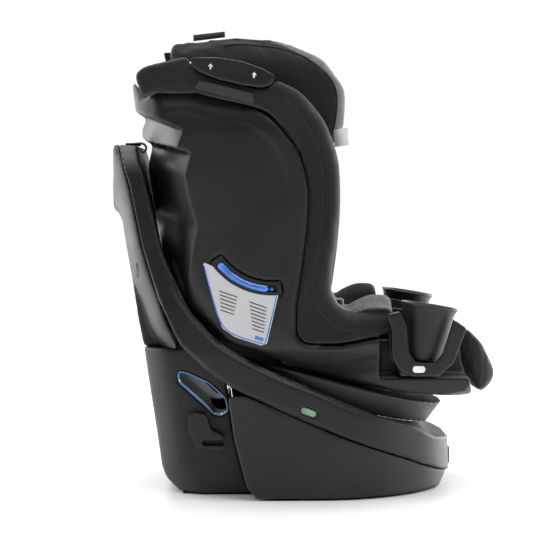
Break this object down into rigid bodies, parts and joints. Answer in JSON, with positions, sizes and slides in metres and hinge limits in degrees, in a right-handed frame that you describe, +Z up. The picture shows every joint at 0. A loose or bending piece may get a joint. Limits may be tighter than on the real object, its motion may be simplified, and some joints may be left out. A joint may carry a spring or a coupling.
{
  "type": "convertible car seat",
  "caption": "Rotating convertible child car seat: a bucket seat with headrest, harness and cup holders that turns and reclines on a fixed base with a high rear hoop.",
  "frame": {"origin": "on the floor under the centre of the turntable, at the underside of the grip pad", "axes": "+X forward, the way the seated child faces; +Y to the left; +Z up"},
  "size_m": [0.5415, 0.414, 0.6401],
  "materials": {
    "base_plastic": "fine moulded grain",
    "band_plastic": "satin moulded",
    "shell_plastic": "satin moulded",
    "trim_plastic": "fine moulded grain",
    "blue_plastic": "gloss",
    "clear_lens": "clear",
    "white_plastic": "gloss",
    "green_plastic": "gloss",
    "red_plastic": "gloss",
    "steel": "brushed",
    "bearing_steel": "polished",
    "rubber": "matt",
    "foam": "closed-cell foam",
    "knit": "knitted cover",
    "border": "woven border",
    "webbing": "woven webbing",
    "label": "printed film, bare"
  },
  "bodies": {
    "base": {"base_upper_shell": "band_plastic", "base_lower_shell": "base_plastic", "rear_lower_housing": "base_plastic", "hoop_rear_cover": "base_plastic", "grip_pads": "rubber", "tunnel_liners": "blue_plastic", "lock_windows": "clear_lens", "bearing_race": "steel", "bearing_balls": "bearing_steel", "anchor_connectors": "base_plastic", "tether_guide": "trim_plastic", "front_tab": "trim_plastic"},
    "lock_flags": {"lock_flags": "green_plastic"},
    "turntable": {"turntable_hub": "base_plastic", "upper_race": "steel", "spindle": "steel", "retaining_ring": "steel", "ring_screws": "steel", "recline_rails": "steel"},
    "lock_pin": {"lock_pin": "steel"},
    "seat": {"seat_shell": "shell_plastic", "recline_runners": "trim_plastic", "impact_foam": "foam", "seat_cushion": "knit", "back_cushion": "knit", "bolster_left": "knit", "bolster_right": "knit", "front_flap": "knit", "cup_cradle_left": "trim_plastic", "cup_cradle_right": "trim_plastic", "indicator_dots": "white_plastic", "level_housings": "trim_plastic", "level_lenses": "clear_lens", "label_plates": "label", "name_patches": "border", "shoulder_strap_left": "webbing", "shoulder_strap_right": "webbing", "lap_straps": "webbing", "crotch_strap": "webbing", "crotch_pad": "knit", "buckle_body": "trim_plastic", "adjuster_bezel": "trim_plastic"},
    "headrest": {"headrest_core": "knit", "headrest_lining": "knit", "headrest_rails": "trim_plastic", "shoulder_pads": "knit"},
    "headrest_handle": {"headrest_handle": "trim_plastic"},
    "lift_handle": {"lift_grips": "trim_plastic", "lift_yoke": "steel"},
    "cup_left": {"cup_holder_left": "shell_plastic"},
    "cup_right": {"cup_holder_right": "shell_plastic"},
    "recline_handle": {"recline_handle": "trim_plastic"},
    "buckle_button": {"buckle_button": "red_plastic"},
    "adjuster_button": {"adjuster_button": "trim_plastic"},
    "tongue_left": {"buckle_tongue_left": "steel"},
    "tongue_right": {"buckle_tongue_right": "steel"},
    "chest_clip": {"chest_clip": "trim_plastic"},
    "level_ball_left": {"level_ball_left": "blue_plastic"},
    "level_ball_right": {"level_ball_right": "blue_plastic"}
  },
  "joints": [
    {"name": "seat_rotation", "type": "hinge", "parent": "base", "child": "turntable", "pos_m": [0, 0, 0.1228], "axis": [0.2588, 0, 0.9659], "continuous": true},
    {"name": "seat_recline", "type": "hinge", "parent": "turntable", "child": "seat", "pos_m": [0.12423, 0, 0.58644], "axis": [0, -1, 0], "range_deg": [0, 6]},
    {"name": "headrest_height", "type": "slide", "parent": "seat", "child": "headrest", "axis": [-0.2239, 0, 0.9746], "range_m": [0, 0.115]},
    {"name": "headrest_release", "type": "slide", "parent": "headrest", "child": "headrest_handle", "axis": [-0.2239, 0, 0.9746], "range_m": [0, 0.006], "stiffness_N_per_m": 400, "springref_m": -0.004},
    {"name": "lift_to_rotate", "type": "slide", "parent": "seat", "child": "lift_handle", "axis": [0, 0, 1], "range_m": [0, 0.01], "stiffness_N_per_m": 600, "springref_m": -0.006},
    {"name": "lock_pin_slide", "type": "slide", "parent": "turntable", "child": "lock_pin", "axis": [0.2588, 0, 0.9659], "range_m": [0, 0.01]},
    {"name": "lock_flag_slide", "type": "slide", "parent": "base", "child": "lock_flags", "axis": [0.9397, 0, -0.342], "range_m": [0, 0.012]},
    {"name": "cup_lift_left", "type": "slide", "parent": "seat", "child": "cup_left", "axis": [0.1564, 0, 0.9877], "range_m": [0, 0.09]},
    {"name": "cup_lift_right", "type": "slide", "parent": "seat", "child": "cup_right", "axis": [0.1564, 0, 0.9877], "range_m": [0, 0.09]},
    {"name": "recline_pull", "type": "slide", "parent": "seat", "child": "recline_handle", "axis": [0.9982, 0, -0.06], "range_m": [0, 0.01], "stiffness_N_per_m": 400, "springref_m": -0.005},
    {"name": "buckle_press", "type": "slide", "parent": "seat", "child": "buckle_button", "axis": [0, 0, -1], "range_m": [0, 0.003], "stiffness_N_per_m": 1500, "springref_m": -0.001},
    {"name": "adjuster_press", "type": "slide", "parent": "seat", "child": "adjuster_button", "axis": [0, 0, -1], "range_m": [0, 0.0025], "stiffness_N_per_m": 1500, "springref_m": -0.001},
    {"name": "tongue_slide_left", "type": "slide", "parent": "seat", "child": "tongue_left", "axis": [-1, 0, 0], "range_m": [0, 0.022]},
    {"name": "tongue_slide_right", "type": "slide", "parent": "seat", "child": "tongue_right", "axis": [-1, 0, 0], "range_m": [0, 0.022]},
    {"name": "chest_clip_slide", "type": "slide", "parent": "seat", "child": "chest_clip", "axis": [0.4149, 0, -0.9099], "range_m": [-0.012, 0.03]},
    {"name": "level_roll_left", "type": "hinge", "parent": "seat", "child": "level_ball_left", "pos_m": [-0.062, 0.1872, 0.3827], "axis": [0, 1, 0], "range_deg": [0, 47]},
    {"name": "level_roll_right", "type": "hinge", "parent": "seat", "child": "level_ball_right", "pos_m": [-0.062, -0.1872, 0.3827], "axis": [0, 1, 0], "range_deg": [0, 47]}
  ],
  "couplings": [
    {"joint": "lock_pin_slide", "follows": "lift_to_rotate", "ratio": 1},
    {"joint": "lock_flag_slide", "follows": "lift_to_rotate", "ratio": 1.2}
  ]
}
